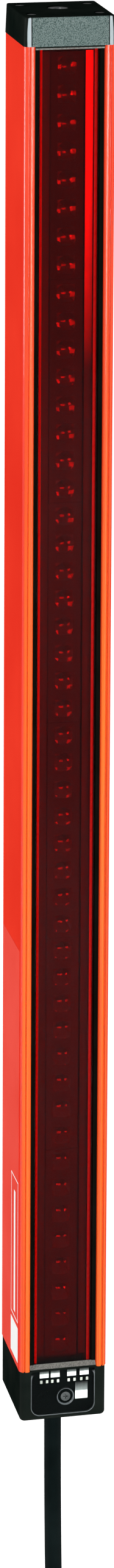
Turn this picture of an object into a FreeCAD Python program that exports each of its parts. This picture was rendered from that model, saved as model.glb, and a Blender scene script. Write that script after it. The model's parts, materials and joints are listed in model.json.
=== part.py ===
import FreeCAD, Part
import math
import os

# Safety light curtain: one optical bar, a sender or a receiver, with its cable and plug.
# Millimetres. X is across the bar, -Y is the side that the beams leave from, +Z is up.
# The origin is on the rear face, at the mouth of the mounting slot, half-way up the profile.

Vec = FreeCAD.Vector
UP = Vec(0, 0, 1)

# ---- Driving dimensions ------------------------------------------------------------------

# Body
body_width = 60.0
body_depth = 64.0
beam_pitch = 18.75
beams_per_module = 8
module_count = 6
end_margin = 5.0  # profile past the outermost beam's cell, at each end

# Extruded profile
side_wall = 2.5
rear_wall = 2.5
rear_corner_radius = 2.5
front_corner_radius = 4.2
pillar_width = 7.15  # side face to the edge of the window opening
bead_shoulder = 0.45  # by which the inner bead's arc is fuller than its width
bead_middle_turn = 30.0  # where the inner bead's arc is half-way, in degrees from straight ahead
groove_offset = 3.15  # side face to the middle of the groove between the two beads
groove_width = 0.9
groove_depth = 1.3
window_seat_depth = 6.5
ledge_thickness = 2.2
chamber_half = 17.2  # middle plane to the inner face of the optics chamber's walls
chamber_wall = 1.5
barb_notch_depth = 0.75
barb_notch_height = 1.0
barb_notch_from_seat = 2.4  # the window's seat to the near edge of the barb's notch
slot_mouth = 8.4
slot_width = 15.0
slot_depth = 5.0
slot_wall = 2.2
rail_reach = 3.0
rail_thickness = 1.9
boss_inset = 7.6  # side face to the axis of a screw channel
front_boss_depth = 16.0
rear_boss_inset = 10.0  # rear face to the axis of a screw channel
boss_half = 3.4
channel_radius = 1.75

# Front window and its gaskets
pane_thickness = 3.0
pane_flange = 1.8
pane_field_inset = 4.65  # edge of the opening to the pane's raised field
pane_bevel = 0.8
pane_side_gap = 0.35
gasket_width = 2.8
gasket_height = 1.9
gasket_round = 0.7

# Optics
lens_radius = 6.5
lens_sag = 1.7
lens_plate_thickness = 2.0
lens_plate_width = 22.0
lens_plate_depth = 10.0  # front plane to the plate's front
carrier_width = 23.0
optics_board_inset = 31.0  # rear face to the front of the optics boards
carrier_flange = 2.0
tunnel_front = 11.6
tunnel_rear = 4.6
board_thickness = 1.6
board_gap = 0.5  # board's edge to the side wall
rail_gap = 0.1
module_gap = 0.2
diode_size = (3.0, 1.6, 2.6)
link_size = (18.0, 5.0, 16.0)

# Control board
control_board_inset = 18.0  # rear face to the board's front
control_board_length = 180.0
control_board_start = 12.0  # above the profile's lower end
relay_size = (14.0, 5.0, 20.0)
relay_x = -11.0
relay_heights = (24.0, 50.0)  # above the board's lower end
processor_size = (14.0, 1.4, 14.0)
processor_x = 9.0
processor_height = 97.0
capacitor_radius = 4.0
capacitor_length = 5.5
capacitor_x = 12.0
capacitor_heights = (20.0, 36.0)

# End caps
top_cap_height = 19.0
bottom_cap_height = 36.0
top_cap_base_flare = 0.3
top_cap_top_inset = 0.5
top_cap_round = 0.8
bottom_cap_inset = 0.5
bottom_cap_round = 2.5
cap_wall = 3.0
cap_floor = 4.0
top_cap_roof = 5.0
lip_front_depth = 1.0
lip_side_gap = 0.15
top_lip_length = 2.2
bottom_lip_length = 3.6
bottom_lip_front_length = 1.0  # height of the lower lip at its front, before the ramp
face_groove_offset = 4.6  # side face to the fine groove beside the top cap's front face
face_groove_width = 0.6
face_groove_depth = 0.5
face_groove_start = 1.0  # above the profile's end
spigot_length = 4.4
spigot_gap = 0.2  # spigot to the walls of the optics chamber
spigot_front_depth = 9.5
spigot_rear_inset = 15.0
spigot_wall = 2.5
seal_thickness = 1.0
seal_inset = 1.4
seal_band = 2.2
seal_front_depth = 6.9

# Screws of the caps
screw_radius = 1.7
screw_hole_radius = 2.1
screw_head_radius = 3.5
screw_head_height = 2.4
counterbore_radius = 3.8
screw_reach = 12.0  # how far a screw goes into its channel
top_head_depth = 3.0  # top face to the screw head's seat
bottom_head_depth = 20.0
post_half = 4.6
slot_stop_height = 8.0  # pad in the lower cap that closes the slot's end
drive_reach = 1.5
drive_width = 0.65
drive_depth = 0.8

# Pivot insert in the top cap
pivot_depth = 40.0
pivot_dish_radius = 7.5
pivot_dish_depth = 1.5
insert_radius = 5.6
insert_flange_radius = 6.6
insert_flange_height = 0.8
insert_length = 13.0
insert_bore_radius = 3.3
insert_bore_length = 12.0
fit_gap = 0.05
overcut = 1.0  # how far a recess is cut past the face that it opens through

# Indicator window in the bottom cap
cover_half_width = 22.2
cover_bottom = 3.0  # above the cap's lower face
cover_top = 35.5
cover_thickness = 2.0
cover_set_back = 0.4
cover_low_radius = 6.5
cover_high_radius = 1.5
cover_least_radius = 0.4
cover_gap = 0.1
panel_thickness = 1.2
pocket_step = 2.4  # ledge around the indicator board's pocket
led_size = (2.0, 1.5, 1.2)
lamp_size = (1.6, 2.2)
lamp_height = 26.8
lamp_spacing = 4.0
field_size = (6.2, 0.4, 2.9)
field_height = 29.6
column_offsets = (-12.6, -5.0, 6.4, 15.1)
guide_height = 2.0
readout_size = (8.5, 0.4, 5.9)
readout_x = 13.2
readout_height = 12.6
readout_guide_height = 6.4
cover_screw_height = 15.7
cover_screw_x = 1.9
dish_radius = 5.9
dish_floor_radius = 4.2
cover_screw_head_radius = 3.3
cover_screw_head_height = 1.7
cover_screw_radius = 1.5
cover_screw_length = 8.0

# Cable entry
cable_diameter = 11.6
cable_depth = 34.0  # front plane to the cable's axis
cable_gap = 0.1
bend_share = 0.45  # part of the shorter run beside a corner that its arc takes
grommet_radius = 8.0
grommet_flange_radius = 10.0
grommet_flange_height = 2.0
clamp_width = 30.0
clamp_thickness = 13.0
clamp_height = 8.0
cable_start = 13.0  # above the bottom cap's lower face

# Plug
plug_radius = 13.0
plug_neck_radius = 9.5
plug_neck_length = 14.0
plug_shoulder_step = 1.5
plug_body_length = 22.0
plug_ring_length = 18.0
plug_ring_radius = 14.0
plug_ring_wall = 2.2
plug_ring_overlap = 9.0
plug_insert_radius = 10.5
plug_insert_length = 12.0
plug_pin_radius = 0.9
plug_pin_length = 7.0
plug_pin_circles = ((6.6, 5), (0.0, 1))
plug_ring_chamfer = 0.8

# Film on the side
film_thickness = 0.15
film_front_depth = 6.4
film_rear_inset = 4.0
film_length = 298.0
film_start = 0.6

# ---- Derived places ----------------------------------------------------------------------

half_width = body_width / 2
front = -body_depth
module_length = beam_pitch * beams_per_module
field_length = module_length * module_count
profile_length = field_length + 2 * end_margin
profile_top = profile_length / 2
profile_bottom = -profile_top
top = profile_top + top_cap_height
bottom = profile_bottom - bottom_cap_height
opening_half = half_width - pillar_width
bead_radius = (pillar_width - groove_offset - groove_width / 2 + bead_shoulder) / 2
rear_boss_depth = body_depth - rear_boss_inset
control_board_depth = body_depth - control_board_inset
spigot_rear_depth = body_depth - spigot_rear_inset
film_rear_depth = body_depth - film_rear_inset
inner_half = half_width - side_wall
boss_x = half_width - boss_inset
pane_front_depth = window_seat_depth - pane_thickness
flange_front_depth = window_seat_depth - pane_flange
carrier_front_depth = lens_plate_depth + lens_plate_thickness
spigot_half_width = chamber_half - spigot_gap
board_depth = body_depth - optics_board_inset
board_half = inner_half - board_gap
cable_radius = cable_diameter / 2
boss_places = [(side * boss_x, depth) for side in (-1, 1) for depth in (front_boss_depth, rear_boss_depth)]


def at_depth(depth):
    """Y of a point that lies this far behind the front plane."""
    return front + depth


# The cable's route: out of the clamp, straight down, then a slight lean and down into the plug.
cable_route = [
    Vec(0.0, at_depth(cable_depth), bottom + cable_start),
    Vec(0.0, at_depth(cable_depth), bottom - 125.0),
    Vec(7.0, at_depth(cable_depth) + 4.0, bottom - 263.0),
    Vec(7.0, at_depth(cable_depth) + 4.0, bottom - 332.0),
]

# ---- Shape helpers -----------------------------------------------------------------------


def block(x0, x1, depth0, depth1, z0, z1):
    """Box between two X, two depths behind the front plane and two heights."""
    return Part.makeBox(x1 - x0, depth1 - depth0, z1 - z0, Vec(x0, at_depth(depth0), z0))


def rod(radius, x, depth, z0, z1):
    """Upright cylinder."""
    return Part.makeCylinder(radius, z1 - z0, Vec(x, at_depth(depth), z0), UP)


def rod_back(radius, x, depth0, depth1, z):
    """Cylinder that runs straight back from the front."""
    return Part.makeCylinder(radius, depth1 - depth0, Vec(x, at_depth(depth0), z), Vec(0, 1, 0))


def path(start, steps):
    """Closed wire from (x, y) points: a step is an end point, or a middle and an end of an arc."""
    here = Vec(*start, 0)
    edges = []
    for step in steps:
        if len(step) == 2:
            there = Vec(*step, 0)
            edges.append(Part.LineSegment(here, there).toShape())
        else:
            there = Vec(*step[2:], 0)
            edges.append(Part.Arc(here, Vec(*step[:2], 0), there).toShape())
        here = there
    if here.distanceToPoint(Vec(*start, 0)) > 1e-6:
        edges.append(Part.LineSegment(here, Vec(*start, 0)).toShape())
    return Part.Wire(edges)


def raise_wire(wire, z0, z1):
    """Solid between two heights over a flat wire."""
    base = Part.Face(wire)
    base.translate(Vec(0, 0, z0))
    return base.extrude(Vec(0, 0, z1 - z0))


def mirrored(shape):
    return shape.mirror(Vec(0, 0, 0), Vec(1, 0, 0))


def rounded_rectangle(x0, x1, y0, y1, low_radius, high_radius):
    """Wire with one corner radius on its low-Y side and another on its high-Y side."""
    a = low_radius * (1 - math.sqrt(0.5))
    b = high_radius * (1 - math.sqrt(0.5))
    return path(
        (x0 + low_radius, y0),
        [
            (x1 - low_radius, y0),
            (x1 - a, y0 + a, x1, y0 + low_radius),
            (x1, y1 - high_radius),
            (x1 - b, y1 - b, x1 - high_radius, y1),
            (x0 + high_radius, y1),
            (x0 + b, y1 - b, x0, y1 - high_radius),
            (x0, y0 + low_radius),
            (x0 + a, y0 + a, x0 + low_radius, y0),
        ],
    )


def body_outline(inset):
    """The body's plain outline, drawn in on every side by the inset."""
    return rounded_rectangle(
        -half_width + inset,
        half_width - inset,
        front + inset,
        -inset,
        front_corner_radius - inset,
        rear_corner_radius - inset,
    )


def save(name, shape):
    solids = shape.Solids if hasattr(shape, "Solids") else [s for one in shape for s in one.Solids]
    whole = solids[0] if len(solids) == 1 else Part.makeCompound(solids)
    whole.exportStep(os.path.join("parts", name + ".step"))
    print(name, len(solids), "solids", "valid" if all(s.isValid() for s in solids) else "INVALID")


# ---- Housing -----------------------------------------------------------------------------


def half_section():
    """Right half of the profile's section, from the slot's mouth round the outside and back."""
    corner = front_corner_radius
    corner_x = half_width - corner
    corner_y = front + corner
    groove_out = half_width - groove_offset + groove_width / 2
    groove_in = groove_out - groove_width
    shoulder_out = corner_y - math.sqrt(corner**2 - (groove_out - corner_x) ** 2)
    bead_x = opening_half + bead_radius
    bead_y = front + bead_radius
    shoulder_in = bead_y - math.sqrt(bead_radius**2 - (groove_in - bead_x) ** 2)
    groove_floor = front + groove_depth
    groove_turn = groove_floor - groove_width / 2
    seat = at_depth(window_seat_depth)
    notch_near = seat - barb_notch_from_seat
    notch_far = notch_near - barb_notch_height
    slot_half = slot_width / 2
    slot_floor = -rear_wall - slot_depth
    lean = math.sqrt(0.5)
    bead_turn = math.radians(bead_middle_turn)
    rear_round = rear_corner_radius
    return path(
        (slot_mouth / 2, 0),
        [
            (half_width - rear_round, 0),
            (half_width - rear_round * (1 - lean), -rear_round * (1 - lean), half_width, -rear_round),
            (half_width, corner_y),
            (corner_x + corner * lean, corner_y - corner * lean, groove_out, shoulder_out),
            (groove_out, groove_turn),
            ((groove_out + groove_in) / 2, groove_floor, groove_in, groove_turn),
            (groove_in, shoulder_in),
            (
                bead_x - bead_radius * math.sin(bead_turn),
                bead_y - bead_radius * math.cos(bead_turn),
                opening_half,
                bead_y,
            ),
            (opening_half, notch_far),
            (opening_half + barb_notch_depth, notch_far),
            (opening_half + barb_notch_depth, notch_near),
            (opening_half, notch_near),
            (opening_half, seat),
            (chamber_half, seat),
            (chamber_half, seat + ledge_thickness),
            (inner_half, seat + ledge_thickness),
            (inner_half, -rear_wall),
            (slot_half + slot_wall, -rear_wall),
            (slot_half + slot_wall, slot_floor - slot_wall),
            (0, slot_floor - slot_wall),
            (0, slot_floor),
            (slot_half, slot_floor),
            (slot_half, -rear_wall),
            (slot_mouth / 2, -rear_wall),
        ],
    )


def rails(board_front, stack):
    """A pair of ribs on the right wall that hold a stack of boards by their edges."""
    rib_x = inner_half - rail_reach
    first = board_front - rail_gap
    second = board_front + stack + rail_gap
    return [
        block(rib_x, inner_half, first - rail_thickness, first, profile_bottom, profile_top),
        block(rib_x, inner_half, second, second + rail_thickness, profile_bottom, profile_top),
    ]


def housing_profile():
    half = raise_wire(half_section(), profile_bottom, profile_top)
    added = rails(board_depth - carrier_flange, carrier_flange + board_thickness)
    added += rails(control_board_depth, board_thickness)
    web_rear = board_depth - carrier_flange - rail_gap
    web = (chamber_half, chamber_half + chamber_wall, window_seat_depth, web_rear)
    added.append(block(*web, profile_bottom, profile_top))
    for depth in (front_boss_depth, rear_boss_depth):
        boss = (boss_x - boss_half, inner_half, depth - boss_half, depth + boss_half)
        added.append(block(*boss, profile_bottom, profile_top))
    half = half.fuse(added)
    channels = [
        rod(channel_radius, boss_x, depth, profile_bottom, profile_top)
        for depth in (front_boss_depth, rear_boss_depth)
    ]
    half = half.cut(channels)
    return half.fuse(mirrored(half)).removeSplitter()


# ---- Window ------------------------------------------------------------------------------


def front_window():
    edge = opening_half - pane_side_gap
    field = opening_half - pane_field_inset
    seat = at_depth(window_seat_depth)
    flange = at_depth(flange_front_depth)
    face = at_depth(pane_front_depth)
    outline = path(
        (-edge, seat),
        [
            (edge, seat),
            (edge, flange),
            (field + pane_bevel, flange),
            (field, face),
            (-field, face),
            (-field - pane_bevel, flange),
            (-edge, flange),
        ],
    )
    return raise_wire(outline, profile_bottom, profile_top)


def gasket_right():
    """Strip on the pane's flange, with a round nose and a barb in the notch of the profile."""
    foot = at_depth(flange_front_depth)
    nose = foot - gasket_height
    inner = opening_half - gasket_width
    notch_near = at_depth(window_seat_depth) - barb_notch_from_seat
    notch_far = notch_near - barb_notch_height
    a = gasket_round * (1 - math.sqrt(0.5))
    outline = path(
        (inner, foot),
        [
            (opening_half, foot),
            (opening_half, notch_near),
            (opening_half + barb_notch_depth, notch_near),
            (opening_half + barb_notch_depth, notch_far),
            (opening_half, notch_far),
            (opening_half, nose),
            (inner + gasket_round, nose),
            (inner + a, nose + a, inner, nose + gasket_round),
        ],
    )
    return raise_wire(outline, profile_bottom + bottom_lip_length, profile_top - top_lip_length)


# ---- Optics ------------------------------------------------------------------------------


def module_start(number):
    return -field_length / 2 + number * module_length


def beam_heights(number):
    start = module_start(number)
    return [start + beam_pitch * (beam + 0.5) for beam in range(beams_per_module)]


def module_span(number):
    start = module_start(number)
    return start + module_gap / 2, start + module_length - module_gap / 2


def tunnel(height):
    """Square funnel from behind a lens to its diode."""
    rings = []
    for depth, size in ((carrier_front_depth, tunnel_front), (board_depth, tunnel_rear)):
        half = size / 2
        corners = ((-half, -half), (half, -half), (half, half), (-half, half))
        rings.append([Vec(x, at_depth(depth), height + z) for x, z in corners])
    near, far = rings
    walls = [near, far]
    for i, j in ((0, 1), (1, 2), (2, 3), (3, 0)):
        walls.append([near[i], near[j], far[j], far[i]])
    faces = [Part.Face(Part.makePolygon(wall + wall[:1])) for wall in walls]
    return Part.Solid(Part.Shell(faces))


def optics_carrier(number):
    """Moulded block with a tapered tunnel behind each lens, and a flange held by the rails."""
    low, high = module_span(number)
    half = carrier_width / 2
    back = board_depth
    body = block(-half, half, carrier_front_depth, back, low, high)
    body = body.fuse(block(-board_half, board_half, back - carrier_flange, back, low, high))
    return body.cut([tunnel(height) for height in beam_heights(number)]).removeSplitter()


def lens_strip(number):
    """Clear plate with a domed lens in front of each tunnel."""
    low, high = module_span(number)
    half = lens_plate_width / 2
    plate = block(-half, half, lens_plate_depth, carrier_front_depth, low, high)
    ball_radius = (lens_radius**2 + lens_sag**2) / (2 * lens_sag)
    middle = lens_plate_depth - lens_sag + ball_radius
    cell = lens_plate_thickness / 2
    domes = []
    for height in beam_heights(number):
        ball = Part.makeSphere(ball_radius, Vec(0, at_depth(middle), height))
        barrel = rod_back(lens_radius, 0, lens_plate_depth - lens_sag, lens_plate_depth + cell, height)
        domes.append(ball.common(barrel))
    return plate.fuse(domes).removeSplitter()


def optics_board(number):
    low, high = module_span(number)
    return block(-board_half, board_half, board_depth, board_depth + board_thickness, low, high)


def diodes(number):
    wide, deep, tall = diode_size
    return [
        block(-wide / 2, wide / 2, board_depth - deep, board_depth, z - tall / 2, z + tall / 2)
        for z in beam_heights(number)
    ]


def module_links():
    """Plugs that bridge from each optics board to the next, on their rear."""
    wide, deep, tall = link_size
    rear = board_depth + board_thickness
    joints = [module_start(number) for number in range(1, module_count)]
    return [block(-wide / 2, wide / 2, rear, rear + deep, z - tall / 2, z + tall / 2) for z in joints]


def control_board():
    low = profile_bottom + control_board_start
    rear = control_board_depth + board_thickness
    return block(-board_half, board_half, control_board_depth, rear, low, low + control_board_length)


def control_parts():
    """Two switching relays, a processor and two capacitors on the control board."""
    low = profile_bottom + control_board_start
    face = control_board_depth
    places = [(relay_size, relay_x, height) for height in relay_heights]
    places.append((processor_size, processor_x, processor_height))
    parts = []
    for (wide, deep, tall), x, height in places:
        z = low + height - tall / 2
        parts.append(block(x - wide / 2, x + wide / 2, face - deep, face, z, z + tall))
    for height in capacitor_heights:
        parts.append(rod_back(capacitor_radius, capacitor_x, face - capacitor_length, face, low + height))
    return parts


# ---- End caps ----------------------------------------------------------------------------


def cap_seal(low, high):
    """Frame-shaped seal on the ends of the profile's walls, outside the cap screws."""
    x = half_width - seal_inset
    y0 = at_depth(seal_front_depth)
    band = seal_band
    corner = rear_corner_radius - seal_inset
    outer = rounded_rectangle(-x, x, y0, -seal_inset, corner, corner)
    hole = block(-x + band, x - band, seal_front_depth + band, body_depth - seal_inset - band, low, high)
    return raise_wire(outer, low, high).cut(hole)


def spigot(low, high):
    """Hollow plug that reaches into the profile and keeps the modules in place."""
    wall = spigot_wall
    solid = block(
        -spigot_half_width, spigot_half_width, spigot_front_depth, spigot_rear_depth, low, high
    )
    core = block(
        -spigot_half_width + wall,
        spigot_half_width - wall,
        spigot_front_depth + wall,
        spigot_rear_depth - wall,
        low,
        high,
    )
    return solid.cut(core)


def top_lip():
    """Tongue over the pane's upper end, between the beads."""
    half = opening_half - lip_side_gap
    low = profile_top - top_lip_length
    return block(-half, half, lip_front_depth, pane_front_depth, low, profile_top + cap_wall)


def bottom_lip():
    """Tongue over the pane's lower end, with a ramp that sheds water."""
    half = opening_half - lip_side_gap
    ramp = Part.makePolygon(
        [
            Vec(-half, at_depth(lip_front_depth), profile_bottom - cap_wall),
            Vec(-half, at_depth(lip_front_depth), profile_bottom + bottom_lip_front_length),
            Vec(-half, at_depth(pane_front_depth), profile_bottom + bottom_lip_length),
            Vec(-half, at_depth(pane_front_depth), profile_bottom - cap_wall),
            Vec(-half, at_depth(lip_front_depth), profile_bottom - cap_wall),
        ]
    )
    return Part.Face(ramp).extrude(Vec(2 * half, 0, 0))


def top_cap():
    base = body_outline(-top_cap_base_flare)
    base.translate(Vec(0, 0, profile_top))
    upper = body_outline(top_cap_top_inset)
    upper.translate(Vec(0, 0, top))
    cap = Part.makeLoft([base, upper], True, True)
    cap = cap.makeFillet(top_cap_round, [e for e in cap.Edges if e.BoundBox.ZMin > top - 1e-3])
    ceiling = top - top_cap_roof
    wall = spigot_wall
    hollow = block(
        -spigot_half_width + wall,
        spigot_half_width - wall,
        spigot_front_depth + wall,
        spigot_rear_depth - wall,
        profile_top,
        ceiling,
    )
    hollow = hollow.cut(rod(insert_radius + cap_wall, 0, pivot_depth, profile_top, ceiling))
    cap = cap.cut([hollow, cap_seal(profile_top, profile_top + seal_thickness)])
    cap = cap.fuse([spigot(profile_top - spigot_length, profile_top), top_lip()])
    cuts = [rod(pivot_dish_radius, 0, pivot_depth, top - pivot_dish_depth, top)]
    seat = top - pivot_dish_depth
    cuts.append(rod(insert_radius + fit_gap, 0, pivot_depth, seat - insert_length, seat))
    for x, depth in boss_places:
        cuts.append(rod(screw_hole_radius, x, depth, profile_top, top))
        cuts.append(rod(counterbore_radius, x, depth, top - top_head_depth, top))
    for side in (-1, 1):
        x = side * (half_width - face_groove_offset)
        half = face_groove_width / 2
        deep = top_cap_top_inset + face_groove_depth
        cuts.append(block(x - half, x + half, -overcut, deep, profile_top + face_groove_start, top))
    return cap.cut(cuts).removeSplitter()


def pivot_insert():
    """Closed threaded insert with a flange, in the dish of the top cap."""
    seat = top - pivot_dish_depth
    high = seat + insert_flange_height
    body = rod(insert_radius, 0, pivot_depth, seat - insert_length, seat)
    body = body.fuse(rod(insert_flange_radius, 0, pivot_depth, seat, high))
    bore = rod(insert_bore_radius, 0, pivot_depth, high - insert_bore_length, high)
    return body.cut(bore).removeSplitter()


def cap_screws(seat, tip):
    """Four cap screws: the head lies on the far side of its seat from the tip."""
    out = math.copysign(screw_head_height, seat - tip)
    screws = []
    for x, depth in boss_places:
        head = rod(screw_head_radius, x, depth, *sorted((seat, seat + out)))
        screws.append(head.fuse(rod(screw_radius, x, depth, *sorted((seat, tip)))))
    return screws


def cover_outline(inset):
    """The indicator window's outline as a wire in the front plane, drawn in by the inset."""
    wire = rounded_rectangle(
        -cover_half_width + inset,
        cover_half_width - inset,
        bottom + cover_bottom + inset,
        bottom + cover_top - inset,
        cover_low_radius - inset,
        max(cover_high_radius - inset, cover_least_radius),
    )
    wire.rotate(Vec(0, 0, 0), Vec(1, 0, 0), 90)
    return wire


def cover_slab(inset, depth0, depth1):
    """Slab of the indicator window's outline between two depths."""
    face = Part.Face(cover_outline(inset))
    face.translate(Vec(0, at_depth(depth0), 0))
    return face.extrude(Vec(0, depth1 - depth0, 0))


cover_front = bottom_cap_inset + cover_set_back
cover_back = cover_front + cover_thickness
panel_back = cover_back + panel_thickness
indicator_board_front = panel_back + led_size[1]
indicator_board_back = indicator_board_front + board_thickness
front_block_depth = indicator_board_back + cap_wall
cover_screw_z = bottom + cover_screw_height


def bottom_cap():
    base = Part.Face(body_outline(bottom_cap_inset))
    base.translate(Vec(0, 0, bottom))
    cap = base.extrude(Vec(0, 0, bottom_cap_height))
    rim = [edge for edge in cap.Edges if edge.BoundBox.ZMax < bottom + 1e-3]
    cap = cap.makeFillet(bottom_cap_round, rim)
    hollow = block(
        -half_width + bottom_cap_inset + cap_wall,
        half_width - bottom_cap_inset - cap_wall,
        front_block_depth,
        body_depth - bottom_cap_inset - cap_wall,
        bottom + cap_floor,
        profile_bottom,
    )
    half = post_half
    posts = [
        block(x - half, x + half, depth - half, depth + half, bottom, profile_bottom)
        for x, depth in boss_places
    ]
    stop_half = slot_width / 2 + slot_wall
    stop_depth = body_depth - rear_wall - slot_depth - slot_wall
    stop_low = profile_bottom - slot_stop_height
    posts.append(block(-stop_half, stop_half, stop_depth, body_depth, stop_low, profile_bottom))
    cap = cap.cut(hollow.cut(posts))
    cap = cap.cut(cap_seal(profile_bottom - seal_thickness, profile_bottom))
    cap = cap.fuse(bottom_lip())
    cuts = [cover_slab(0, -overcut, panel_back)]
    cuts.append(cover_slab(pocket_step, panel_back, indicator_board_back))
    screw_end = cover_back + cover_screw_length
    screw_bore = cover_screw_radius + fit_gap
    cuts.append(rod_back(screw_bore, cover_screw_x, panel_back, screw_end, cover_screw_z))
    cuts.append(rod(grommet_radius + fit_gap, 0, cable_depth, bottom, bottom + cap_floor))
    for x, depth in boss_places:
        cuts.append(rod(screw_hole_radius, x, depth, bottom, profile_bottom))
        cuts.append(rod(counterbore_radius, x, depth, bottom, bottom + bottom_head_depth))
    return cap.cut(cuts).removeSplitter()


# ---- Indicators --------------------------------------------------------------------------


def indicator_cover():
    """Dark clear cover; its screw sits in a dish."""
    cover = cover_slab(cover_gap, cover_front, cover_back)
    dish = Part.makeCone(
        dish_radius,
        dish_floor_radius,
        cover_thickness,
        Vec(cover_screw_x, at_depth(cover_front), cover_screw_z),
        Vec(0, 1, 0),
    )
    return cover.cut(dish)


def indicator_screw():
    """Pan-head screw with a cross recess, through the panel into the cap."""
    x = cover_screw_x
    z = cover_screw_z
    head_front = cover_back - cover_screw_head_height
    head = rod_back(cover_screw_head_radius, x, head_front, cover_back, z)
    screw = head.fuse(rod_back(cover_screw_radius, x, cover_back, cover_back + cover_screw_length, z))
    arm = drive_reach
    half = drive_width / 2
    sink = head_front + drive_depth
    drive = [
        block(x - arm, x + arm, head_front, sink, z - half, z + half),
        block(x - half, x + half, head_front, sink, z - arm, z + arm),
    ]
    return screw.cut(drive)


def field_boxes():
    """White fields: one over each pair of lamps, and one for the read-out."""
    wide, deep, tall = field_size
    low = bottom + field_height
    boxes = [(x - wide / 2, x + wide / 2, deep, low, low + tall) for x in column_offsets]
    wide, deep, tall = readout_size
    low = bottom + readout_height
    boxes.append((readout_x - wide / 2, readout_x + wide / 2, deep, low, low + tall))
    return boxes


def legend_fields():
    return [block(x0, x1, cover_back, cover_back + d, z0, z1) for x0, x1, d, z0, z1 in field_boxes()]


def light_guides():
    """Clear bars that stand on top of the white fields."""
    guides = []
    for number, (x0, x1, deep, _, high) in enumerate(field_boxes()):
        is_readout = number == len(column_offsets)
        tall = readout_guide_height if is_readout else guide_height
        guides.append(block(x0, x1, cover_back, cover_back + deep, high, high + tall))
    return guides


def lamp_places():
    z = bottom + lamp_height
    return [(x + side * lamp_spacing / 2, z) for x in column_offsets for side in (-1, 1)]


def indicator_lenses():
    """A pair of small light windows under each field."""
    wide, tall = lamp_size
    return [
        block(x - wide / 2, x + wide / 2, cover_back, panel_back, z - tall / 2, z + tall / 2)
        for x, z in lamp_places()
    ]


def display_panel():
    panel = cover_slab(cover_gap, cover_back, panel_back)
    panel = panel.cut(legend_fields() + light_guides() + indicator_lenses())
    bore = (cover_screw_radius + fit_gap, cover_screw_x, cover_back, panel_back)
    return panel.cut(rod_back(*bore, cover_screw_z))


def indicator_leds():
    wide, _, tall = led_size
    return [
        block(x - wide / 2, x + wide / 2, panel_back, indicator_board_front, z - tall / 2, z + tall / 2)
        for x, z in lamp_places()
    ]


def indicator_board():
    board = cover_slab(pocket_step + cover_gap, indicator_board_front, indicator_board_back)
    hole = (cover_screw_radius + fit_gap, cover_screw_x, indicator_board_front, indicator_board_back)
    return board.cut(rod_back(*hole, cover_screw_z))


# ---- Cable -------------------------------------------------------------------------------


def cable_grommet():
    floor = bottom + cap_floor
    ring = rod(grommet_radius, 0, cable_depth, bottom, floor)
    ring = ring.fuse(rod(grommet_flange_radius, 0, cable_depth, floor, floor + grommet_flange_height))
    bore = rod(cable_radius + cable_gap, 0, cable_depth, bottom, floor + grommet_flange_height)
    return ring.cut(bore).removeSplitter()


def strain_relief():
    """Bridge that grips the cable and stands on the cap's floor beside the grommet."""
    floor = bottom + cap_floor
    high = floor + grommet_flange_height + clamp_height
    half = clamp_width / 2
    deep = clamp_thickness / 2
    bridge = block(-half, half, cable_depth - deep, cable_depth + deep, floor, high)
    room = rod(grommet_flange_radius + cable_gap, 0, cable_depth, floor, floor + grommet_flange_height)
    bore = rod(cable_radius + cable_gap, 0, cable_depth, floor, high)
    return bridge.cut([room, bore])


def cable():
    """Tube along straight runs that tangent arcs join, each arc as large as its runs allow."""
    edges = []
    here = cable_route[0]
    for before, corner, after in zip(cable_route, cable_route[1:], cable_route[2:]):
        inward = (before - corner).normalize()
        outward = (after - corner).normalize()
        shorter = min((before - corner).Length, (after - corner).Length)
        turn = math.pi - inward.getAngle(outward)
        reach = bend_share * shorter
        radius = reach / math.tan(turn / 2)
        print("cable bend radius %.0f mm, %.1f degrees" % (radius, math.degrees(turn)))
        start = corner + inward * reach
        end = corner + outward * reach
        bisector = (inward + outward).normalize()
        middle = corner + bisector * (radius / math.cos(turn / 2) - radius)
        edges.append(Part.LineSegment(here, start).toShape())
        edges.append(Part.Arc(start, middle, end).toShape())
        here = end
    edges.append(Part.LineSegment(here, cable_route[-1]).toShape())
    line = Part.Wire(edges)
    ring = Part.Wire(Part.makeCircle(cable_radius, cable_route[0], Vec(0, 0, -1)))
    tube = line.makePipeShell([ring], True, False)
    section = math.pi * cable_radius**2
    print("cable length %.1f mm, volume share %.4f" % (line.Length, tube.Volume / (section * line.Length)))
    return tube


# ---- Plug --------------------------------------------------------------------------------

plug_top = cable_route[-1].z
plug_x = cable_route[-1].x
plug_at = cable_route[-1].y - front  # depth of the plug's axis
shoulder = plug_top - plug_neck_length
body_end = shoulder - plug_body_length
ring_top = body_end + plug_ring_overlap
ring_end = ring_top - plug_ring_length
insert_top = body_end
insert_end = insert_top - plug_insert_length


def plug_body():
    """Turned body: clamping neck, shoulder and the reduced end that the ring turns on."""
    reduced = plug_ring_radius - plug_ring_wall - fit_gap
    neck = Part.makeCone(
        plug_neck_radius,
        plug_radius - plug_shoulder_step,
        plug_neck_length,
        Vec(plug_x, at_depth(plug_at), plug_top),
        Vec(0, 0, -1),
    )
    barrel = rod(plug_radius, plug_x, plug_at, ring_top, shoulder)
    return neck.fuse([barrel, rod(reduced, plug_x, plug_at, body_end, ring_top)]).removeSplitter()


def plug_ring():
    """Coupling ring that turns on the body's reduced end."""
    ring = rod(plug_ring_radius, plug_x, plug_at, ring_end, ring_top)
    ring = ring.makeChamfer(plug_ring_chamfer, [e for e in ring.Edges if e.BoundBox.ZLength < 1e-3])
    return ring.cut(rod(plug_ring_radius - plug_ring_wall, plug_x, plug_at, ring_end, ring_top))


def pin_places():
    places = []
    for radius, count in plug_pin_circles:
        for number in range(count):
            angle = 2 * math.pi * (number + 0.5) / count
            places.append((plug_x + radius * math.cos(angle), plug_at + radius * math.sin(angle)))
    return places


def plug_insert():
    """Insulator that carries the contacts."""
    return rod(plug_insert_radius, plug_x, plug_at, insert_end + plug_pin_length, insert_top)


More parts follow.
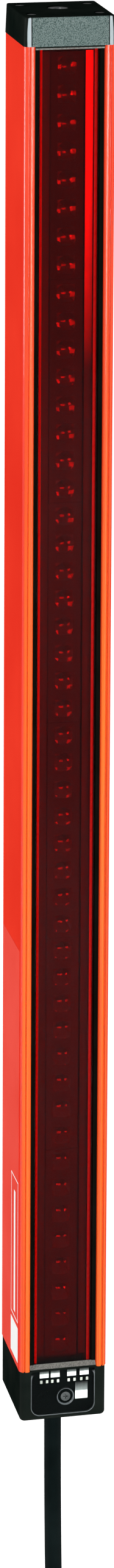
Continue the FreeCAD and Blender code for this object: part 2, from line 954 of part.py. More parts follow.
def plug_pins():
    face = insert_end + plug_pin_length
    return [rod(plug_pin_radius, x, depth, insert_end, face) for x, depth in pin_places()]


# ---- Film --------------------------------------------------------------------------------


def side_film():
    low = profile_bottom + film_start
    outer = -half_width - film_thickness
    return block(outer, -half_width, film_front_depth, film_rear_depth, low, low + film_length)


# ---- Write every piece -------------------------------------------------------------------

os.makedirs("parts", exist_ok=True)

save("housing_profile", housing_profile())
save("front_window", front_window())
save("gasket_right", gasket_right())
save("gasket_left", mirrored(gasket_right()))
for module in range(module_count):
    save("optics_carrier_%d" % (module + 1), optics_carrier(module))
    save("lens_strip_%d" % (module + 1), lens_strip(module))
    save("optics_board_%d" % (module + 1), optics_board(module))
    save("diodes_%d" % (module + 1), diodes(module))
save("module_links", module_links())
save("control_board", control_board())
save("control_parts", control_parts())
save("top_cap", top_cap())
save("top_cap_seal", cap_seal(profile_top, profile_top + seal_thickness))
save("top_cap_screws", cap_screws(top - top_head_depth, profile_top - screw_reach))
save("pivot_insert", pivot_insert())
save("bottom_cap", bottom_cap())
save("bottom_cap_seal", cap_seal(profile_bottom - seal_thickness, profile_bottom))
save("bottom_cap_screws", cap_screws(bottom + bottom_head_depth, profile_bottom + screw_reach))
save("indicator_cover", indicator_cover())
save("indicator_screw", indicator_screw())
save("display_panel", display_panel())
save("legend_fields", legend_fields())
save("light_guides", light_guides())
save("indicator_lenses", indicator_lenses())
save("indicator_leds", indicator_leds())
save("indicator_board", indicator_board())
save("cable_grommet", cable_grommet())
save("strain_relief", strain_relief())
save("cable", cable())
save("plug_body", plug_body())
save("plug_ring", plug_ring())
save("plug_insert", plug_insert())
save("plug_pins", plug_pins())
save("side_film", side_film())
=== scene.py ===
import json
import math

import bpy
from mathutils import Matrix, Vector


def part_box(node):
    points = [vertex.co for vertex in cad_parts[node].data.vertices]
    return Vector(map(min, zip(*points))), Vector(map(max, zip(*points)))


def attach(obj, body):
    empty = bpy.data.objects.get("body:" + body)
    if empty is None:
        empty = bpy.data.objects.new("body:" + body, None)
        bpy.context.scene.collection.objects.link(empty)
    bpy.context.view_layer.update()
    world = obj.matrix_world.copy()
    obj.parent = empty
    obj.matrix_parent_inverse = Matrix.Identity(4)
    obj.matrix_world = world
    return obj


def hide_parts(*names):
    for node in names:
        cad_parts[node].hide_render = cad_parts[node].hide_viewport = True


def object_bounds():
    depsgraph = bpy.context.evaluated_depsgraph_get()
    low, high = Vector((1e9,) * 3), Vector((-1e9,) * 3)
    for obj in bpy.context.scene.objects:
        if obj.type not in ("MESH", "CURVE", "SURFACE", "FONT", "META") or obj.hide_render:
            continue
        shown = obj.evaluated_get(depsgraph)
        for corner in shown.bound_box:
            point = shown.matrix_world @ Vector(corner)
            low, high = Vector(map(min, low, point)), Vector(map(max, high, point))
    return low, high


# Safety light curtain: a red extruded bar with a dark red window in front, black end caps,
# an indicator window at the lower end and a cable with a round plug.
# Metres. X is across the bar, -Y is the side that the beams leave from, +Z is up.

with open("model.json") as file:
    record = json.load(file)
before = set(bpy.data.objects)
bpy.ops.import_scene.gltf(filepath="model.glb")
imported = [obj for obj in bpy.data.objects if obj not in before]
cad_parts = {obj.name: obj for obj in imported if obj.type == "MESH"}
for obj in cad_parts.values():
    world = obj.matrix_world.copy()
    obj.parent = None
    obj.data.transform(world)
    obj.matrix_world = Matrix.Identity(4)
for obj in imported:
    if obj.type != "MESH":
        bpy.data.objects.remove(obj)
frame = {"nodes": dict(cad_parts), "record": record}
cad_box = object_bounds()

# ---- Places read from the frame ------------------------------------------------------------

housing_low, housing_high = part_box("housing_profile")
top_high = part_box("top_cap")[1]
bottom_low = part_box("bottom_cap")[0]
window_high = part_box("front_window")[1]
film_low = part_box("side_film")[0]
carrier_low, carrier_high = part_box("optics_carrier_1")
cover_low, cover_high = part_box("indicator_cover")
guide_low, guide_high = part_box("light_guides")
screw_low, screw_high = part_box("indicator_screw")

PILLAR_WIDTH = 0.00715  # side face to the edge of the window opening
WALL = 0.0024  # just less than the profile's walls
COVER_ROUND = 0.0065  # the indicator cover's lower corners
WEB_OUT = 0.0187  # middle plane to the outer face of the optics chamber's walls

FRONT = housing_low.y
SIDE = housing_high.x
SEAT = window_high.y
OPENING = SIDE - PILLAR_WIDTH
INSIDE = SIDE - WALL
REAR_WALL = -WALL
SCREW_X = 0.5 * (screw_low.x + screw_high.x)
SCREW_HEIGHT = 0.5 * (screw_low.z + screw_high.z) - bottom_low.z

# ---- Camera --------------------------------------------------------------------------------

CAMERA_PLACE = Vector((-0.6100, -2.8757, 0.9336))
CAMERA_YAW = 0.2107
CAMERA_PITCH = 0.1892
CAMERA_ROLL = -0.0051

camera_data = bpy.data.cameras.new("camera")
camera_data.sensor_width = 36.0
camera_data.lens = 104.46
camera_data.shift_y = -0.40
camera_data.clip_start = 0.1
camera_data.clip_end = 200.0
camera = bpy.data.objects.new("camera", camera_data)
bpy.context.scene.collection.objects.link(camera)
bpy.context.scene.camera = camera

forward = Vector(
    (
        math.sin(CAMERA_YAW) * math.cos(CAMERA_PITCH),
        math.cos(CAMERA_YAW) * math.cos(CAMERA_PITCH),
        -math.sin(CAMERA_PITCH),
    )
)
level_right = Vector((math.cos(CAMERA_YAW), -math.sin(CAMERA_YAW), 0.0))
level_up = level_right.cross(forward)
right = level_right * math.cos(CAMERA_ROLL) - level_up * math.sin(CAMERA_ROLL)
up = level_right * math.sin(CAMERA_ROLL) + level_up * math.cos(CAMERA_ROLL)
turn = Matrix((right, up, -forward)).transposed()
camera.matrix_world = Matrix.Translation(CAMERA_PLACE) @ turn.to_4x4()

# ---- Materials -----------------------------------------------------------------------------


class Paint:
    """A node material, with short ways to add texture, colour and relief to it."""

    def __init__(self, name):
        self.material = bpy.data.materials.new(name)
        self.material.use_nodes = True
        self.nodes = self.material.node_tree.nodes
        self.links = self.material.node_tree.links
        self.shader = self.nodes["Principled BSDF"]
        self.place = self.nodes.new("ShaderNodeTexCoord").outputs["Object"]

    def link(self, source, target):
        self.links.new(source, target)
        return target

    def plain(self, **values):
        """Values that are the same all over, set on the shader's own sockets."""
        for key, value in values.items():
            self.shader.inputs[key.replace("_", " ")].default_value = value

    def stretched(self, scale):
        node = self.nodes.new("ShaderNodeMapping")
        node.inputs["Scale"].default_value = scale
        self.link(self.place, node.inputs["Vector"])
        return node.outputs["Vector"]

    def noise(self, scale, detail=3.0, roughness=0.5, stretch=(1.0, 1.0, 1.0)):
        node = self.nodes.new("ShaderNodeTexNoise")
        node.inputs["Scale"].default_value = scale
        node.inputs["Detail"].default_value = detail
        node.inputs["Roughness"].default_value = roughness
        self.link(self.stretched(stretch), node.inputs["Vector"])
        return node.outputs["Fac"]

    def cells(self, scale, stretch=(1.0, 1.0, 1.0)):
        node = self.nodes.new("ShaderNodeTexVoronoi")
        node.inputs["Scale"].default_value = scale
        self.link(self.stretched(stretch), node.inputs["Vector"])
        return node.outputs["Distance"]

    def axis(self, name):
        node = self.nodes.new("ShaderNodeSeparateXYZ")
        self.link(self.place, node.inputs["Vector"])
        return node.outputs[name]

    def maths(self, kind, a, b=0.0):
        node = self.nodes.new("ShaderNodeMath")
        node.operation = kind
        for socket, value in zip(node.inputs, (a, b)):
            if isinstance(value, (int, float)):
                socket.default_value = value
            else:
                self.link(value, socket)
        return node.outputs["Value"]

    def squared(self, value):
        return self.maths("MULTIPLY", value, value)

    def span(self, value, low, high, to_low=0.0, to_high=1.0):
        node = self.nodes.new("ShaderNodeMapRange")
        self.link(value, node.inputs["Value"])
        node.inputs["From Min"].default_value = low
        node.inputs["From Max"].default_value = high
        node.inputs["To Min"].default_value = to_low
        node.inputs["To Max"].default_value = to_high
        return node.outputs["Result"]

    def within(self, name, low, high, soft=0.0001):
        """1 between two places along an axis and 0 outside, with soft edges."""
        value = self.axis(name)
        above = self.span(value, low - soft, low + soft)
        below = self.span(value, high - soft, high + soft, 1.0, 0.0)
        return self.maths("MULTIPLY", above, below)

    def panel(self, **limits):
        """1 inside a box given by axis=(low, high)."""
        result = None
        for name, (low, high) in limits.items():
            part = self.within(name.upper(), low, high)
            result = part if result is None else self.maths("MULTIPLY", result, part)
        return result

    def mixed(self, amount, first, second):
        node = self.nodes.new("ShaderNodeMix")
        node.data_type = "RGBA"
        if isinstance(amount, (int, float)):
            node.inputs[0].default_value = amount
        else:
            self.link(amount, node.inputs[0])
        for socket, value in zip((node.inputs[6], node.inputs[7]), (first, second)):
            if isinstance(value, tuple):
                socket.default_value = (*value, 1.0)
            else:
                self.link(value, socket)
        return node.outputs[2]

    def colour(self, socket):
        self.link(socket, self.shader.inputs["Base Color"])

    def rough(self, value, low, high):
        self.link(self.span(value, 0.2, 0.8, low, high), self.shader.inputs["Roughness"])

    def relief(self, height, strength, distance):
        node = self.nodes.new("ShaderNodeBump")
        node.inputs["Strength"].default_value = strength
        node.inputs["Distance"].default_value = distance
        self.link(height, node.inputs["Height"])
        if self.shader.inputs["Normal"].is_linked:
            before = self.shader.inputs["Normal"].links[0].from_socket
            self.link(before, node.inputs["Normal"])
        self.link(node.outputs["Normal"], self.shader.inputs["Normal"])

    def overlaid(self, amount, shader):
        """Mixes another shader over what the material shows so far."""
        surface = self.nodes["Material Output"].inputs["Surface"]
        before = surface.links[0].from_socket
        choice = self.nodes.new("ShaderNodeMixShader")
        self.link(amount, choice.inputs["Fac"])
        self.link(before, choice.inputs[1])
        self.link(shader, choice.inputs[2])
        self.link(choice.outputs["Shader"], surface)

    def glossy(self, **values):
        """A second shader of the same colour and relief, with more gloss, where the surface faces out."""
        other = self.nodes.new("ShaderNodeBsdfPrincipled")
        for key, value in values.items():
            other.inputs[key.replace("_", " ")].default_value = value
        for name in ("Base Color", "Normal"):
            if self.shader.inputs[name].is_linked:
                self.link(self.shader.inputs[name].links[0].from_socket, other.inputs[name])
        facing = self.nodes.new("ShaderNodeLayerWeight").outputs["Facing"]
        self.overlaid(self.span(facing, 0.35, 0.65, 1.0, 0.0), other.outputs["BSDF"])


def red_paint():
    """Powder coat on an extrusion: fine peel and faint lines along the bar. The front ridges are painted a
    lighter, warmer orange than the sides, mixed back towards the side's red near the top: painted light.
    """
    paint = Paint("red_paint")
    paint.plain(Specular_IOR_Level=0.0)
    peel = paint.noise(900.0, 2.0)
    lines = paint.noise(1.0, 3.0, stretch=(900.0, 900.0, 3.0))
    cloud = paint.noise(9.0, 3.0)
    side = paint.mixed(paint.span(cloud, 0.3, 0.7), (0.72, 0.028, 0.014), (0.80, 0.042, 0.020))
    # The ridges' orange and its fade to the side's red towards the top are painted light.
    ridge = paint.mixed(paint.span(lines, 0.35, 0.65), (0.68, 0.056, 0.005), (0.80, 0.135, 0.008))
    ridge = paint.mixed(paint.span(paint.axis("Z"), 0.0, 0.36, 0.0, 0.7), ridge, side)
    front = paint.span(paint.axis("Y"), FRONT + 0.0008, FRONT + 0.0022, 1.0, 0.0)
    outside = paint.mixed(front, side, ridge)
    # Near black in the profile's hollow: painted shade over its bare metal.
    bare = paint.mixed(paint.span(lines, 0.3, 0.7), (0.020, 0.020, 0.020), (0.035, 0.035, 0.035))
    hollow = paint.panel(x=(-INSIDE, INSIDE), y=(SEAT + 0.0001, REAR_WALL))
    slot_half, slot_deep = 0.0077, 0.0053
    slot = paint.panel(x=(-slot_half, slot_half), y=(REAR_WALL - slot_deep, 0.001))
    inside = paint.maths("SUBTRACT", hollow, paint.maths("MULTIPLY", hollow, slot))
    seat = paint.panel(x=(-OPENING, OPENING), y=(SEAT - 0.0002, SEAT + 0.0001))
    web = paint.panel(x=(-WEB_OUT, WEB_OUT), y=(SEAT - 0.0002, SEAT + 0.0001))
    edge = paint.mixed(paint.span(lines, 0.3, 0.7), (0.42, 0.42, 0.42), (0.60, 0.60, 0.60))
    outside = paint.mixed(inside, outside, bare)
    outside = paint.mixed(seat, outside, (0.006, 0.005, 0.005))
    paint.colour(paint.mixed(web, outside, edge))
    paint.rough(cloud, 0.3, 0.38)
    paint.relief(peel, 0.12, 0.0002)
    paint.relief(lines, 0.06, 0.0002)
    paint.glossy(Specular_IOR_Level=0.28, Roughness=0.10)
    return paint.material


def lamps_through(paint, tint):
    """Lets light from the lamps reach what is behind a clear piece, in the tint given."""
    passing = paint.nodes.new("ShaderNodeBsdfTransparent")
    passing.inputs["Color"].default_value = (*tint, 1.0)
    rays = paint.nodes.new("ShaderNodeLightPath")
    paint.overlaid(rays.outputs["Is Shadow Ray"], passing.outputs["BSDF"])


def window_red():
    """Dark red see-through plastic with faint drawing lines."""
    paint = Paint("window_red")
    paint.plain(Transmission_Weight=1.0, IOR=1.14, Roughness=0.0)
    streaks = paint.noise(1.0, 3.0, stretch=(500.0, 20.0, 2.0))
    paint.colour(paint.mixed(paint.span(streaks, 0.3, 0.7), (0.78, 0.016, 0.012), (0.90, 0.030, 0.020)))
    lamps_through(paint, (0.92, 0.15, 0.13))
    return paint.material


def grained(name, dark, light, rough=(0.45, 0.6), grain=1500.0, depth=0.0002, specular=0.4):
    """Moulded plastic or rubber with an eroded grain and faint clouding."""
    paint = Paint(name)
    paint.plain(Specular_IOR_Level=specular)
    fine = paint.noise(grain, 3.0, 0.6)
    cloud = paint.noise(40.0, 3.0)
    paint.colour(paint.mixed(paint.span(cloud, 0.3, 0.7), dark, light))
    paint.rough(fine, *rough)
    paint.relief(fine, 0.35, depth)
    return paint


def optic_black():
    """Carriers: dull on the front, with painted shade down in the funnels."""
    dark, light = (0.017, 0.015, 0.015), (0.026, 0.023, 0.023)
    paint = grained("optic_black", dark, light, (0.6, 0.8), 700.0, specular=0.0)
    plain = paint.shader.inputs["Base Color"].links[0].from_socket
    funnel_half = 0.0105
    deep = (carrier_low.y + 0.0009, carrier_high.y + 0.001)
    # The funnels are painted near black: painted shade.
    funnel = paint.panel(x=(-funnel_half, funnel_half), y=deep)
    paint.colour(paint.mixed(funnel, plain, (0.002, 0.002, 0.002)))
    return paint.material


def cap_black():
    """Black caps. The top cap's front face is a mottled field painted lighter as a painted sheen, between
    pale corner lines that are painted highlights; the lips' ramps are painted paler as a painted sheen.
    """
    paint = grained("cap_black", (0.0030, 0.0055, 0.0045), (0.0080, 0.0110, 0.0090), specular=0.0)
    mottle = paint.cells(1400.0)
    speck = paint.noise(1500.0, 2.0)
    # The field's lightness is a painted sheen; its mottle and specks are the face's grain.
    sheen_grey = paint.mixed(paint.span(mottle, 0.1, 0.7), (0.17, 0.225, 0.215), (0.045, 0.075, 0.070))
    sheen_grey = paint.mixed(paint.span(speck, 0.45, 0.7, 0.0, 0.7), sheen_grey, (0.20, 0.24, 0.23))
    tall = (housing_high.z - 0.0005, top_high.z - 0.0001)
    near = (FRONT - 0.001, FRONT + 0.0009)
    field_half, strip_in, strip_out = SIDE - 0.0049, SIDE - 0.0043, SIDE - 0.0018
    field = paint.panel(x=(-field_half, field_half), y=near, z=tall)
    wide = paint.panel(x=(-strip_out, strip_out), y=near, z=tall)
    within = paint.panel(x=(-strip_in, strip_in), y=near, z=tall)
    corner_highlights = paint.maths("SUBTRACT", wide, within)
    plain = paint.shader.inputs["Base Color"].links[0].from_socket
    mixed = paint.mixed(field, plain, sheen_grey)
    # Pale corner lines: painted highlights on the cap's front corners.
    mixed = paint.mixed(corner_highlights, mixed, (0.40, 0.46, 0.48))
    lip = {"x": (-OPENING, OPENING), "y": (FRONT, SEAT)}
    low_ramp = paint.panel(**lip, z=(housing_low.z + 0.0009, housing_low.z + 0.0045))
    high_edge = paint.panel(**lip, z=(housing_high.z - 0.003, housing_high.z - 0.0012))
    ramps = paint.maths("MAXIMUM", low_ramp, high_edge)
    # Paler on the lips' ramp and upper edge: painted sheen.
    ramp_sheen = paint.mixed(paint.span(speck, 0.4, 0.6), (0.12, 0.12, 0.11), (0.22, 0.22, 0.20))
    paint.colour(paint.mixed(ramps, mixed, ramp_sheen))
    paint.glossy(Specular_IOR_Level=0.02, Roughness=0.4)
    return paint.material


def clear(name, tint, low=0.02, high=0.05, ior=1.49):
    paint = Paint(name)
    paint.plain(Transmission_Weight=1.0, IOR=ior)
    cloud = paint.noise(120.0, 3.0)
    pale = tuple(min(1.0, c * 1.06) for c in tint)
    paint.colour(paint.mixed(paint.span(cloud, 0.3, 0.7), tint, pale))
    paint.rough(cloud, low, high)
    lamps_through(paint, tuple(math.sqrt(c) for c in tint))
    return paint.material


def metal(name, dark, light, low, high, brushed=(1.0, 1.0, 1.0)):
    paint = Paint(name)
    paint.plain(Metallic=1.0)
    lines = paint.noise(600.0, 3.0, stretch=brushed)
    cloud = paint.noise(150.0, 3.0)
    paint.colour(paint.mixed(paint.span(cloud, 0.3, 0.7), dark, light))
    paint.rough(lines, low, high)
    paint.relief(lines, 0.15, 0.00005)
    return paint.material


def board_green():
    """Solder mask over fine tracks."""
    paint = Paint("board_green")
    paint.plain(Specular_IOR_Level=0.5)
    tracks = paint.cells(450.0, (1.0, 1.0, 0.5))
    paint.colour(paint.mixed(paint.span(tracks, 0.25, 0.35), (0.02, 0.14, 0.05), (0.01, 0.08, 0.03)))
    paint.rough(paint.noise(300.0), 0.3, 0.45)
    paint.relief(tracks, 0.1, 0.00005)
    return paint.material


def film_red():
    """Glossy film, with a bare outlined frame and a bare white box near its lower end."""
    paint = Paint("film_red")
    paint.plain(Specular_IOR_Level=0.0)
    cloud = paint.noise(14.0, 3.0)
    red = paint.mixed(paint.span(cloud, 0.3, 0.7), (0.76, 0.066, 0.046), (0.82, 0.090, 0.066))
    white = (0.86, 0.86, 0.85)
    near, far = FRONT + 0.0075, FRONT + 0.0305
    low, high = film_low.z + 0.032, film_low.z + 0.133
    line = 0.0009
    strip_half = 0.0024
    outer = paint.panel(y=(near, far), z=(low, high))
    inner = paint.panel(y=(near + line, far - line), z=(low + line, high - line))
    ring = paint.maths("SUBTRACT", outer, inner)
    box = paint.panel(y=(near - 0.0003, far + 0.0003), z=(film_low.z + 0.0035, film_low.z + 0.0285))
    middle = 0.5 * (near + far)
    strip = paint.panel(y=(middle - strip_half, middle + strip_half), z=(low + 0.004, high - 0.010))
    for mark in (ring, strip, box):
        red = paint.mixed(mark, red, white)
    paint.colour(red)
    paint.rough(cloud, 0.22, 0.32)
    paint.relief(paint.noise(500.0, 2.0), 0.05, 0.0001)
    paint.glossy(Specular_IOR_Level=0.5, Roughness=0.15)
    return paint.material


def cover_dark():
    """Smoked clear cover with a pale edge line and a pale rim round the screw's dish, both painted
    highlights.
    """
    paint = Paint("cover_dark")
    paint.plain(Transmission_Weight=1.0, IOR=1.1, Roughness=0.0)
    cloud = paint.noise(60.0, 3.0)
    paint.colour(paint.mixed(paint.span(cloud, 0.3, 0.7), (0.84, 0.87, 0.86), (0.90, 0.93, 0.92)))
    lamps_through(paint, (0.94, 0.96, 0.95))
    across = paint.maths("SUBTRACT", paint.axis("X"), SCREW_X)
    along = paint.maths("SUBTRACT", paint.axis("Z"), bottom_low.z + SCREW_HEIGHT)
    away = paint.maths("POWER", paint.maths("ADD", paint.squared(across), paint.squared(along)), 0.5)
    rim_inner = paint.span(away, 0.0050, 0.0053)
    rim_outer = paint.span(away, 0.0059, 0.0062, 1.0, 0.0)
    rim = paint.maths("MULTIPLY", rim_inner, rim_outer)
    middle_z = 0.5 * (cover_low.z + cover_high.z)
    half_x = cover_high.x
    half_z = cover_high.z - middle_z
    off_z = paint.maths("SUBTRACT", paint.axis("Z"), middle_z)
    corners = []
    for off, half in ((paint.axis("X"), half_x), (off_z, half_z)):
        past = paint.maths("SUBTRACT", paint.maths("ABSOLUTE", off), half - COVER_ROUND)
        corners.append(paint.squared(paint.maths("MAXIMUM", past, 0.0)))
    reach = paint.maths("POWER", paint.maths("ADD", *corners), 0.5)
    line = paint.span(reach, COVER_ROUND - 0.0005, COVER_ROUND - 0.0004)
    low = paint.span(paint.axis("Z"), cover_high.z - 0.004, cover_high.z - 0.002, 1.0, 0.0)
    line = paint.maths("MULTIPLY", line, low)
    # The pale shader over the rim and the edge line is a painted highlight.
    pale = paint.nodes.new("ShaderNodeBsdfPrincipled")
    pale.inputs["Base Color"].default_value = (0.20, 0.23, 0.24, 1.0)
    pale.inputs["Roughness"].default_value = 0.3
    share = paint.maths("MULTIPLY", paint.maths("MAXIMUM", rim, line), 0.6)
    paint.overlaid(share, pale.outputs["BSDF"])
    return paint.material


def guide_clear():
    """Light guides, painted lighter beside their field and darker further up: painted light."""
    paint = Paint("guide_clear")
    paint.plain(Transmission_Weight=0.3, IOR=1.3, Roughness=0.3)
    fine = paint.noise(1400.0, 2.0, stretch=(1.0, 1.0, 0.15))
    small_height, tall_height = 0.0020, 0.0064
    small = paint.span(paint.axis("Z"), guide_high.z - small_height, guide_high.z, 0.55, 0.03)
    tall = paint.span(paint.axis("Z"), guide_low.z, guide_low.z + tall_height, 0.60, 0.01)
    above = guide_low.z + tall_height + 0.0002
    upper = paint.span(paint.axis("Z"), above, above + 0.0002)
    lower = paint.maths("SUBTRACT", 1.0, upper)
    level = paint.maths("ADD", paint.maths("MULTIPLY", upper, small), paint.maths("MULTIPLY", lower, tall))
    level = paint.maths("MULTIPLY", level, paint.span(fine, 0.3, 0.7, 0.75, 1.1))
    paint.colour(paint.mixed(level, (0.0, 0.0, 0.0), (0.92, 0.97, 0.97)))
    return paint.material


def cable_black():
    """Smooth sheath with faint lines along it."""
    dark, light = (0.001, 0.003, 0.003), (0.004, 0.008, 0.008)
    paint = grained("cable_black", dark, light, (0.35, 0.5), 500.0, specular=0.0)
    lines = paint.noise(1.0, 2.0, stretch=(900.0, 900.0, 6.0))
    paint.relief(lines, 0.15, 0.0002)
    paint.glossy(Specular_IOR_Level=0.02, Roughness=0.3)
    return paint.material


materials = {
    "red_paint": red_paint(),
    "window_red": window_red(),
    "optic_black": optic_black(),
    "lens_clear": clear("lens_clear", (0.95, 0.95, 0.95), 0.0, 0.02, 1.38),
    "board_green": board_green(),
    "cap_black": cap_black(),
    "steel": metal("steel", (0.55, 0.56, 0.57), (0.68, 0.68, 0.68), 0.25, 0.4),
    "cover_dark": cover_dark(),
    "guide_clear": guide_clear(),
    "cable_black": cable_black(),
    "plug_metal": metal("plug_metal", (0.58, 0.56, 0.52), (0.72, 0.70, 0.66), 0.18, 0.32),
    "pin_gold": metal("pin_gold", (0.80, 0.58, 0.22), (0.90, 0.70, 0.32), 0.18, 0.3),
    "film_red": film_red(),
}

# Moulded pieces: name, darker and lighter colour, roughness, grain, its depth and specular.
MOULDED = (
    ("black_rubber", (0.003, 0.003, 0.002), (0.005, 0.005, 0.004), (0.5, 0.65), 800.0, 0.0002, 0.0),
    ("chip_dark", (0.03, 0.03, 0.033), (0.05, 0.05, 0.055), (0.45, 0.6), 1500.0, 0.0002, 0.4),
    ("panel_black", (0.002, 0.003, 0.003), (0.004, 0.006, 0.006), (0.45, 0.6), 1500.0, 0.0002, 0.0),
    ("field_white", (0.93, 0.93, 0.92), (0.98, 0.98, 0.97), (0.4, 0.5), 900.0, 0.00005, 0.4),
    # lamp_clear: the lamp windows are painted pale, a painted glint.
    ("lamp_clear", (0.45, 0.45, 0.42), (0.90, 0.90, 0.86), (0.15, 0.3), 900.0, 0.00005, 0.4),
    ("led_white", (0.80, 0.78, 0.62), (0.86, 0.85, 0.72), (0.3, 0.4), 900.0, 0.00005, 0.4),
)
for name, *look in MOULDED:
    materials[name] = grained(name, *look).material

for part in frame["record"]["subparts"]:
    node = frame["nodes"][part["node"]]
    node.data.materials.clear()
    node.data.materials.append(materials[part["material_slot"]])

steel_dark = metal("steel_dark", (0.035, 0.04, 0.04), (0.10, 0.11, 0.11), 0.25, 0.4)
screw_node = frame["nodes"]["indicator_screw"]
screw_node.data.materials.clear()
screw_node.data.materials.append(steel_dark)

# ---- Cable ---------------------------------------------------------------------------------

CABLE_ROUTE = (
    (0.0, -0.030, -0.478),
    (0.0, -0.030, -0.616),
    (0.007, -0.026, -0.754),
    (0.007, -0.026, -0.823),
)
CABLE_RADIUS = 0.0058

cable_curve = bpy.data.curves.new("cable_sheath", "CURVE")
cable_curve.dimensions = "3D"
cable_curve.bevel_depth = CABLE_RADIUS
cable_curve.bevel_resolution = 8
cable_curve.resolution_u = 24
cable_curve.use_fill_caps = True
route = cable_curve.splines.new("NURBS")
route.points.add(len(CABLE_ROUTE) - 1)
for point, place in zip(route.points, CABLE_ROUTE):
    point.co = (*place, 1.0)
route.order_u = 3
route.use_endpoint_u = True
cable_curve.materials.append(materials["cable_black"])
cable = bpy.data.objects.new("cable_sheath", cable_curve)
bpy.context.scene.collection.objects.link(cable)
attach(cable, "root")
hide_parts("cable")

# ---- Plates beside the optics: painted shade, with a painted reflection near the right one's top ---

PLATE_NEAR = 0.0120
PLATE_FAR = 0.0170
PLATE_THICK = 0.0002
plate_front = SEAT + 0.0030
plate_back = plate_front + PLATE_THICK
plate_top = housing_high.z - 0.0045
plate_bottom = housing_low.z + 0.0065

def optics_plate():
    """Dark plates, a painted shade in the gap beside the optics; the right one carries a painted
    reflection near its top.
    """
    paint = Paint("optics_plate")
    paint.plain(Specular_IOR_Level=0.1)
    lines = paint.noise(1.0, 3.0, stretch=(1500.0, 1500.0, 4.0))
    # The right plate turns pale near its top: a painted reflection.
    reflection_fade = paint.span(paint.axis("Z"), plate_top - 0.21, plate_top - 0.05)
    painted_reflection = paint.maths("MULTIPLY", reflection_fade, paint.span(paint.axis("X"), -0.001, 0.001))
    streak = paint.span(lines, 0.3, 0.7)
    pale = paint.mixed(streak, (0.80, 0.80, 0.80), (0.96, 0.96, 0.96))
    dark = paint.mixed(streak, (0.015, 0.013, 0.013), (0.027, 0.024, 0.024))
    paint.colour(paint.mixed(painted_reflection, dark, pale))
    paint.rough(lines, 0.4, 0.6)
    return paint.material


plate_material = optics_plate()

for plate_name, side in (("optics_plate_left", -1), ("optics_plate_right", 1)):
    low_x, high_x = sorted((side * PLATE_NEAR, side * PLATE_FAR))
    corners = ((low_x, plate_front), (high_x, plate_front), (high_x, plate_back), (low_x, plate_back))
    plate_mesh = bpy.data.meshes.new(plate_name)
    plate_mesh.from_pydata(
        [(x, y, z) for z in (plate_bottom, plate_top) for x, y in corners],
        [],
        [(3, 2, 1, 0), (4, 5, 6, 7), (0, 1, 5, 4), (1, 2, 6, 5), (2, 3, 7, 6), (3, 0, 4, 7)],
    )
    plate_mesh.materials.append(plate_material)
    plate = bpy.data.objects.new(plate_name, plate_mesh)
    bpy.context.scene.collection.objects.link(plate)
    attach(plate, "root")

# ---- Floor, world and lamps ----------------------------------------------------------------

scene = bpy.context.scene
scene.view_settings.view_transform = "Standard"

FLOOR_HALF = 120.0
floor_mesh = bpy.data.meshes.new("floor")
floor_z = cad_box[0].z - 0.002
floor_mesh.from_pydata(
    [(x * FLOOR_HALF, y * FLOOR_HALF, floor_z) for x, y in ((-1, -1), (1, -1), (1, 1), (-1, 1))],
    [],
    [(0, 1, 2, 3)],
)
floor = bpy.data.objects.new("floor", floor_mesh)
scene.collection.objects.link(floor)


def seen_share(nodes, links):
    """1 for rays from the camera, from a mirror or through glass, and 0 for the rest."""
    rays = nodes.new("ShaderNodeLightPath")
    total = rays.outputs["Is Camera Ray"]
    for name in ("Is Glossy Ray", "Is Transmission Ray"):
        add = nodes.new("ShaderNodeMath")
        add.operation = "ADD"
        add.use_clamp = True
        links.new(total, add.inputs[0])
        links.new(rays.outputs[name], add.inputs[1])
        total = add.outputs["Value"]
    return total


floor_paint = Paint("floor")
floor_paint.plain(Roughness=0.9, Specular_IOR_Level=0.1)
floor_paint.colour(floor_paint.mixed(floor_paint.noise(3.0), (0.82, 0.82, 0.82), (0.86, 0.86, 0.86)))
floor_paint.shader.inputs["Emission Color"].default_value = (1.0, 1.0, 1.0, 1.0)
away = floor_paint.nodes.new("ShaderNodeVectorMath")
away.operation = "LENGTH"
floor_paint.link(floor_paint.place, away.inputs[0])
lift = floor_paint.span(away.outputs["Value"], 1.5, 5.0, 0.50, 0.95)
glow = floor_paint.maths("MULTIPLY", seen_share(floor_paint.nodes, floor_paint.links), lift)
floor_paint.link(glow, floor_paint.shader.inputs["Emission Strength"])
floor_mesh.materials.append(floor_paint.material)

world = bpy.data.worlds.new("studio")
scene.world = world
world.use_nodes = True
world_nodes = world.node_tree.nodes
world_links = world.node_tree.links
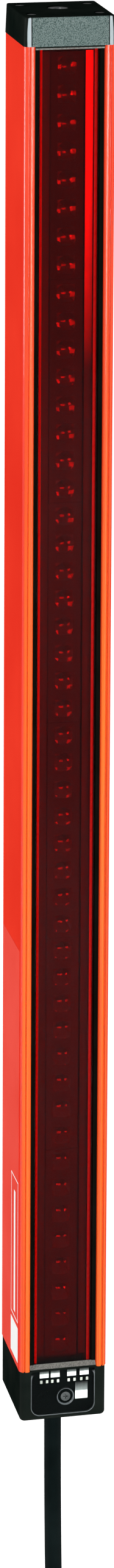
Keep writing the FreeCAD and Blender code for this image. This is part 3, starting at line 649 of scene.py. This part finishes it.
# The world is white where the camera sees it. Mirrors and glass see white near the level and a
# darker ceiling above it, and everything else gets a low, even light.
backdrop = world_nodes["Background"]
direction = world_nodes.new("ShaderNodeTexCoord").outputs["Generated"]
height = world_nodes.new("ShaderNodeSeparateXYZ")
world_links.new(direction, height.inputs["Vector"])
sweep = world_nodes.new("ShaderNodeMapRange")
sweep.inputs["From Min"].default_value = 0.02
sweep.inputs["From Max"].default_value = 0.12
sweep.inputs["To Min"].default_value = 1.0
sweep.inputs["To Max"].default_value = 0.12
world_links.new(height.outputs["Z"], sweep.inputs["Value"])
level = world_nodes.new("ShaderNodeMix")
level.data_type = "FLOAT"
level.inputs[2].default_value = 0.14
world_links.new(seen_share(world_nodes, world_links), level.inputs[0])
plain = world_nodes.new("ShaderNodeMath")
plain.operation = "MAXIMUM"
world_links.new(sweep.outputs["Result"], plain.inputs[0])
world_links.new(world_nodes.new("ShaderNodeLightPath").outputs["Is Camera Ray"], plain.inputs[1])
world_links.new(plain.outputs["Value"], level.inputs[3])
world_links.new(level.outputs[0], backdrop.inputs["Strength"])
backdrop.inputs["Color"].default_value = (1.0, 1.0, 1.0, 1.0)


def lamp(name, place, aim, width, height, power, colour=(1.0, 1.0, 1.0)):
    data = bpy.data.lights.new(name, "AREA")
    data.shape = "RECTANGLE"
    data.size = width
    data.size_y = height
    data.energy = power
    data.color = colour
    obj = bpy.data.objects.new(name, data)
    scene.collection.objects.link(obj)
    obj.location = place
    toward = (Vector(aim) - Vector(place)).normalized()
    obj.rotation_mode = "QUATERNION"
    obj.rotation_quaternion = toward.to_track_quat("-Z", "Y")
    return obj


CENTRE = (0.0, -0.03, 0.0)


def around(name, azimuth, distance, height, wide, tall, power):
    """A lamp at an azimuth from straight ahead, positive to the left, facing the bar level."""
    turn_left = math.radians(azimuth)
    x = -distance * math.sin(turn_left)
    y = -0.03 - distance * math.cos(turn_left)
    return lamp(name, (x, y, height), (0.0, -0.03, height), wide, tall, power)


around("front", 8.0, 2.4, -0.08, 1.0, 0.42, 29.0)
around("left", 108.0, 2.4, -0.10, 1.0, 0.42, 14.0)
around("glint", -32.0, 4.6, -0.06, 1.0, 0.80, 112.0)
lamp("key", (-2.4, -1.3, 1.3), CENTRE, 1.1, 1.1, 30.0)
lamp("rear_left", (-2.2, 1.4, 2.3), CENTRE, 1.2, 1.2, 35.0)
lamp("rear_right", (2.3, 1.3, 2.2), CENTRE, 1.2, 1.2, 35.0)
